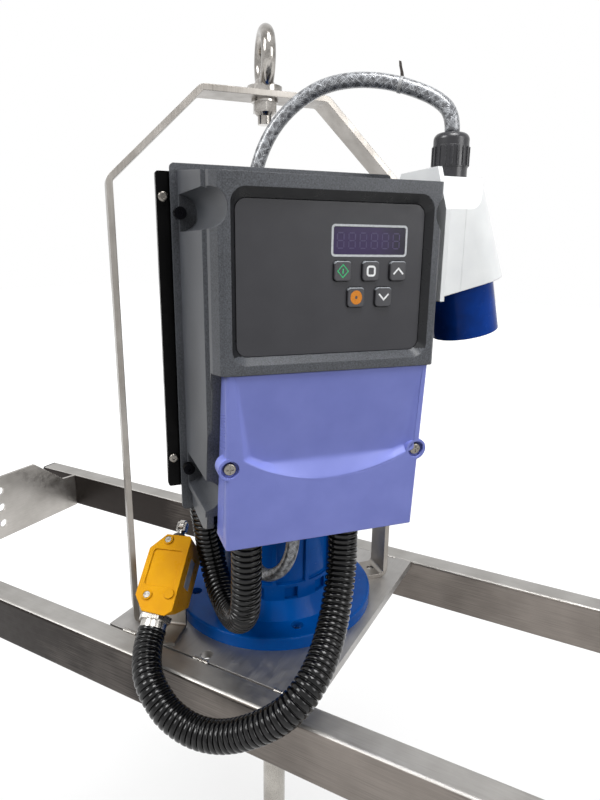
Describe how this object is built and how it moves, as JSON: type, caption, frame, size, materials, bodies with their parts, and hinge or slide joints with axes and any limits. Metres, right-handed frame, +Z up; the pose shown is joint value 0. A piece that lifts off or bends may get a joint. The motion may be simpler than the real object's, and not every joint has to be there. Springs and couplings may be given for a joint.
{
  "type": "tank agitator",
  "caption": "Bridge-mounted tank agitator: geared motor on two rails, lifting strap, variable-speed drive with keypad, mains inlet and interlock switch, shaft with pitched-blade impeller.",
  "frame": {"origin": "On the shaft axis at the height of the rails' undersides, where the bridge rests on the tank.", "axes": "+Z up along the shaft, +X along the rails, +Y towards the rear rail."},
  "size_m": [1.026, 0.3483, 1.2185],
  "materials": {
    "stainless_steel": "brushed stainless steel sheet, bar and section",
    "zinc_fastener": "stainless fastener",
    "blue_paint": "blue machinery enamel on cast iron",
    "cast_core": "machined cast iron or electrical steel",
    "copper_winding": "varnished copper windings",
    "gear_steel": "machined steel",
    "black_plastic": "black moulded plastic",
    "gloss_black": "gloss black coated sheet",
    "grey_casting": "grey textured powder coat on aluminium casting",
    "panel_grey": "dark grey membrane panel",
    "key_rubber": "silicone rubber key",
    "display": "tinted display window",
    "violet_plastic": "violet moulded plastic",
    "grey_plastic": "pale grey moulded plastic",
    "blue_plastic": "dark blue moulded plastic",
    "brass_pin": "nickel-plated brass",
    "yellow_plastic": "yellow moulded plastic",
    "black_rubber": "black rubber",
    "conduit_black": "black corrugated conduit",
    "braid": "braided screen under clear sheath",
    "board_green": "circuit board"
  },
  "bodies": {
    "frame": {"front_rail": "stainless_steel", "rear_rail": "stainless_steel", "rail_caps": "black_plastic", "left_end_plate": "stainless_steel", "right_end_plate": "stainless_steel", "motor_plate": "stainless_steel", "plate_bolts": "zinc_fastener", "gearbox_housing": "blue_paint", "gearbox_shield": "blue_paint", "motor_housing": "blue_paint", "motor_end_shield": "blue_paint", "fan_cowl": "blue_paint", "stator": "copper_winding", "inner_bearings": "gear_steel", "output_bearings": "gear_steel", "shaft_seal": "black_rubber", "lifting_strap": "stainless_steel", "lifting_eye": "stainless_steel", "lifting_eye_nut": "zinc_fastener", "drive_bracket": "stainless_steel", "drive_back_plate": "gloss_black", "drive_mount_screws": "zinc_fastener", "drive_heat_sink": "grey_casting", "drive_circuit_board": "board_green", "drive_case": "grey_casting", "drive_case_screws": "gloss_black", "keypad_panel": "panel_grey", "display_lens": "display", "terminal_cover": "violet_plastic", "terminal_cover_screws": "zinc_fastener", "drive_glands": "black_plastic", "inlet_base": "grey_plastic", "inlet_body": "grey_plastic", "inlet_shroud": "blue_plastic", "inlet_pins": "brass_pin", "inlet_gland": "black_plastic", "motor_terminal_box": "blue_paint", "switch_housing": "yellow_plastic", "switch_lid": "yellow_plastic", "switch_boot": "black_rubber", "switch_fitting": "brass_pin", "switch_bracket": "stainless_steel", "supply_cable": "braid", "motor_conduit": "conduit_black", "switch_conduit": "conduit_black"},
    "output": {"output_wheel": "gear_steel", "output_shaft": "stainless_steel", "shaft_coupling": "stainless_steel", "mixing_shaft": "stainless_steel", "impeller": "stainless_steel"},
    "lay": {"layshaft": "gear_steel"},
    "motor_rotor": {"rotor": "gear_steel", "cooling_fan": "black_plastic"},
    "start_key_cap": {"start_key": "key_rubber"},
    "stop_key_cap": {"stop_key": "key_rubber"},
    "up_key_cap": {"up_key": "key_rubber"},
    "reset_key_cap": {"reset_key": "key_rubber"},
    "down_key_cap": {"down_key": "key_rubber"},
    "switch_stem": {"switch_plunger": "gear_steel"},
    "switch_wheel": {"switch_roller": "gear_steel"}
  },
  "joints": [
    {"name": "output_spin", "type": "hinge", "parent": "frame", "child": "output", "pos_m": [0, 0, 0], "axis": [0, 0, 1], "continuous": true},
    {"name": "layshaft_spin", "type": "hinge", "parent": "frame", "child": "lay", "pos_m": [0.03, 0, 0.1], "axis": [0, 0, 1], "continuous": true},
    {"name": "rotor_spin", "type": "hinge", "parent": "frame", "child": "motor_rotor", "pos_m": [0, 0, 0.2], "axis": [0, 0, 1], "continuous": true},
    {"name": "start_key_press", "type": "slide", "parent": "frame", "child": "start_key_cap", "axis": [-0.7416, 0.6708, 0], "range_m": [0, 0.0012], "stiffness_N_per_m": 900, "springref_m": -0.0004},
    {"name": "stop_key_press", "type": "slide", "parent": "frame", "child": "stop_key_cap", "axis": [-0.7416, 0.6708, 0], "range_m": [0, 0.0012], "stiffness_N_per_m": 900, "springref_m": -0.0004},
    {"name": "up_key_press", "type": "slide", "parent": "frame", "child": "up_key_cap", "axis": [-0.7416, 0.6708, 0], "range_m": [0, 0.0012], "stiffness_N_per_m": 900, "springref_m": -0.0004},
    {"name": "reset_key_press", "type": "slide", "parent": "frame", "child": "reset_key_cap", "axis": [-0.7416, 0.6708, 0], "range_m": [0, 0.0012], "stiffness_N_per_m": 900, "springref_m": -0.0004},
    {"name": "down_key_press", "type": "slide", "parent": "frame", "child": "down_key_cap", "axis": [-0.7416, 0.6708, 0], "range_m": [0, 0.0012], "stiffness_N_per_m": 900, "springref_m": -0.0004},
    {"name": "switch_press", "type": "slide", "parent": "frame", "child": "switch_stem", "axis": [0.224, -0.7326, -0.6428], "range_m": [0, 0.0035], "stiffness_N_per_m": 600, "springref_m": -0.003},
    {"name": "roller_spin", "type": "hinge", "parent": "switch_stem", "child": "switch_wheel", "pos_m": [-0.06458, -0.06789, 0.13797], "axis": [0.9563, 0.2924, 0], "continuous": true}
  ],
  "couplings": [
    {"joint": "layshaft_spin", "follows": "output_spin", "ratio": -3},
    {"joint": "rotor_spin", "follows": "output_spin", "ratio": 9}
  ]
}
